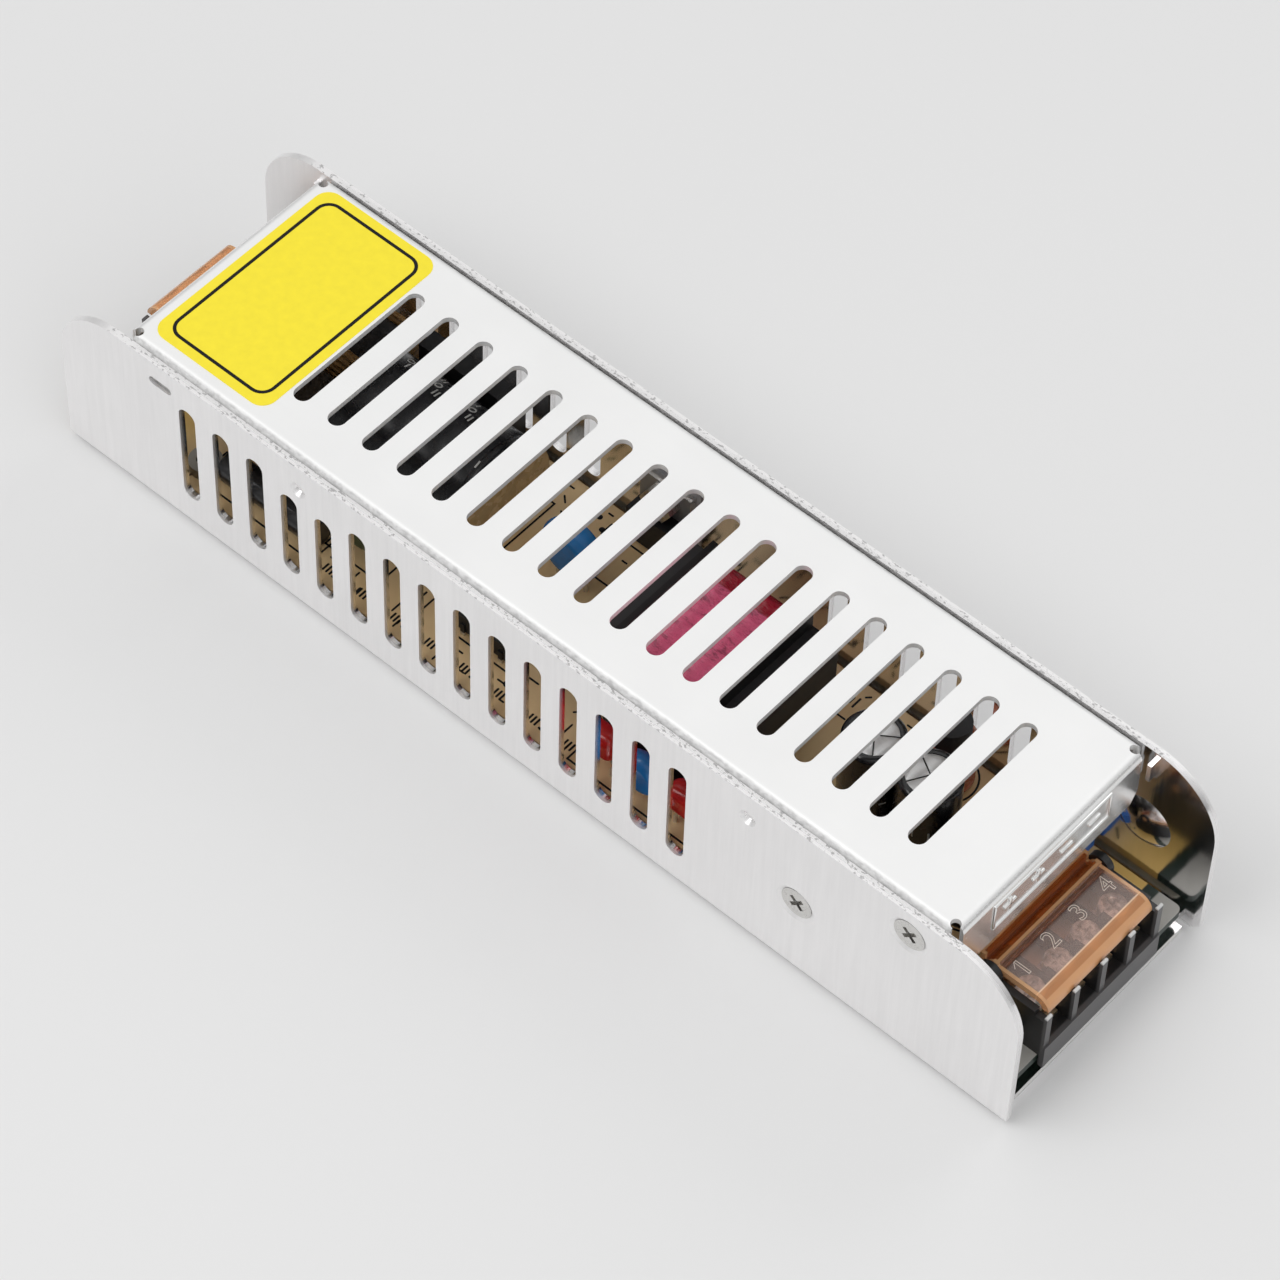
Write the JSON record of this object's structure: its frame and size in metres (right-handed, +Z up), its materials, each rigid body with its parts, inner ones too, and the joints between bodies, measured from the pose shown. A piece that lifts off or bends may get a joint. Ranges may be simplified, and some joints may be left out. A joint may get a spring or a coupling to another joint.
{
  "type": "slim switching power supply",
  "caption": "Slim switching power supply in a folded, slotted aluminium case with barrier terminals under hinged amber covers at both ends.",
  "frame": {"origin": "middle of the underside of the base plate", "axes": "+X along the case towards the output terminals, +Z up out of the base plate"},
  "size_m": [0.188, 0.046, 0.0343],
  "materials": {
    "case_metal": "satin",
    "cover_metal": "satin",
    "steel": "satin",
    "board": "satin",
    "film": "matte",
    "block_plastic": "satin",
    "amber_plastic": "gloss",
    "brass": "satin",
    "pad": "matte",
    "device_plastic": "matte",
    "can_sleeve": "gloss",
    "ferrite": "matte",
    "bobbin_plastic": "satin",
    "pink_tape": "satin",
    "copper_wire": "gloss",
    "yellow_box": "satin",
    "fuse_body": "gloss",
    "olive_coating": "matte",
    "blue_coating": "satin",
    "red_coating": "satin",
    "trimmer_blue": "satin",
    "rotor_white": "satin",
    "lamp_green": "gloss"
  },
  "bodies": {
    "case": {"base_channel": "case_metal", "top_cover": "cover_metal", "cover_screw": "steel", "circuit_board": "board", "insulating_film": "film", "board_screws": "steel", "output_terminal_block": "block_plastic", "output_terminal_contacts": "brass", "output_terminal_clamps": "steel", "output_terminal_screws": "steel", "input_terminal_block": "block_plastic", "input_terminal_contacts": "brass", "input_terminal_clamps": "steel", "input_terminal_screws": "steel", "output_rectifier": "device_plastic", "rectifier_pad": "pad", "rectifier_screw": "steel", "rectifier_nut": "steel", "switching_transistor": "device_plastic", "transistor_pad": "pad", "transistor_screw": "steel", "transistor_nut": "steel", "bulk_capacitor": "can_sleeve", "bridge_rectifier": "device_plastic", "line_choke_core": "ferrite", "line_choke_winding": "copper_wire", "filter_capacitor": "yellow_box", "input_fuse": "fuse_body", "inrush_thermistor": "olive_coating", "coupling_capacitor": "blue_coating", "transformer_core": "ferrite", "transformer_bobbin": "bobbin_plastic", "transformer_winding": "pink_tape", "output_capacitors": "can_sleeve", "output_choke_core": "ferrite", "output_choke_winding": "copper_wire", "film_capacitors": "red_coating", "blue_disc_capacitor": "blue_coating", "optocoupler": "device_plastic", "control_chip": "device_plastic", "voltage_trimmer": "trimmer_blue", "indicator_lamp": "lamp_green"},
    "output_cover": {"output_terminal_cover": "amber_plastic"},
    "input_cover": {"input_terminal_cover": "amber_plastic"},
    "voltage_adjuster": {"trimmer_rotor": "rotor_white"}
  },
  "joints": [
    {"name": "output_cover_hinge", "type": "hinge", "parent": "case", "child": "output_cover", "pos_m": [0.08125, 0, 0.0154], "axis": [0, -1, 0], "range_deg": [0, 80]},
    {"name": "input_cover_hinge", "type": "hinge", "parent": "case", "child": "input_cover", "pos_m": [-0.08265, 0.0035, 0.0154], "axis": [0, 1, 0], "range_deg": [0, 80]},
    {"name": "voltage_adjuster_turn", "type": "hinge", "parent": "case", "child": "voltage_adjuster", "pos_m": [0.0716, 0.01755, 0.0102], "axis": [0, 0, 1], "range_deg": [-135, 135]}
  ]
}
